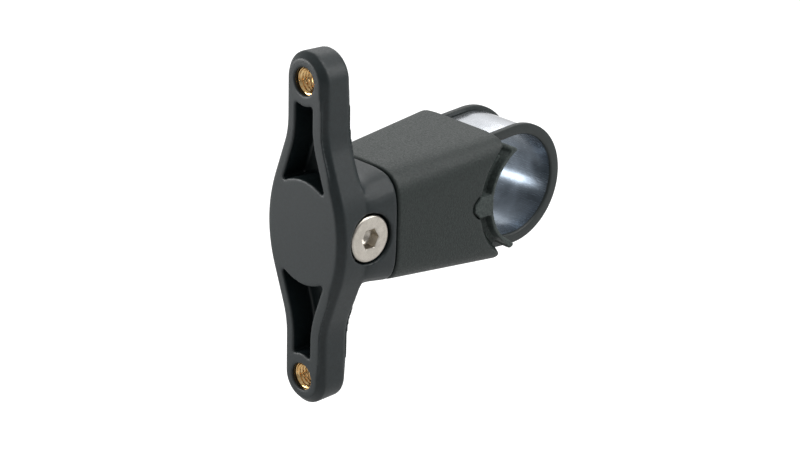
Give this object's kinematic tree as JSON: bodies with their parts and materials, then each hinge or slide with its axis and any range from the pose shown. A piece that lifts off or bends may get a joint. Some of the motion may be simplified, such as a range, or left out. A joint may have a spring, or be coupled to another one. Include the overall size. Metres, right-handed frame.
{
  "type": "handlebar bottle cage mount",
  "caption": "Handlebar clamp with a steel strap, and a slim plate with threaded inserts that a bottle cage bolts to. A cross bolt in its neck tightens the strap.",
  "frame": {"origin": "centre of the handlebar, on the middle plane of the mount", "axes": "+X along the handlebar towards the bolt head, +Z along the line of the two cage bolts, -Y towards the bottle cage"},
  "size_m": [0.0268, 0.066, 0.076],
  "materials": {
    "arm_nylon": "matte",
    "housing_nylon": "matte",
    "liner_nylon": "gloss",
    "pad_rubber": "matte",
    "insert_brass": "satin",
    "bolt_steel": "satin",
    "band_steel": "polished",
    "inner_steel": "satin"
  },
  "bodies": {
    "clamp_body": {"cage_arm": "arm_nylon", "insert_upper": "insert_brass", "insert_lower": "insert_brass", "bolt_bush": "insert_brass", "clamp_housing": "housing_nylon", "saddle_pad": "pad_rubber"},
    "collar": {"wedge_collar": "inner_steel"},
    "bolt": {"cross_bolt": "bolt_steel"},
    "strap": {"draw_bar": "inner_steel", "upper_eye_pin": "inner_steel", "lower_eye_pin": "inner_steel", "strap_band": "band_steel", "strap_liner": "liner_nylon"}
  },
  "joints": [
    {"name": "collar_slide", "type": "slide", "parent": "clamp_body", "child": "collar", "axis": [1, 0, 0], "range_m": [0, 0.0015]},
    {"name": "bolt_turn", "type": "hinge", "parent": "collar", "child": "bolt", "pos_m": [0, -0.0442, 0], "axis": [1, 0, 0], "range_deg": [0, 540]},
    {"name": "strap_slide", "type": "slide", "parent": "clamp_body", "child": "strap", "axis": [0, 1, 0], "range_m": [0, 0.0015]}
  ],
  "couplings": [
    {"joint": "bolt_turn", "follows": "collar_slide", "rad_per_m": 6283.2},
    {"joint": "strap_slide", "follows": "collar_slide", "ratio": 1}
  ]
}
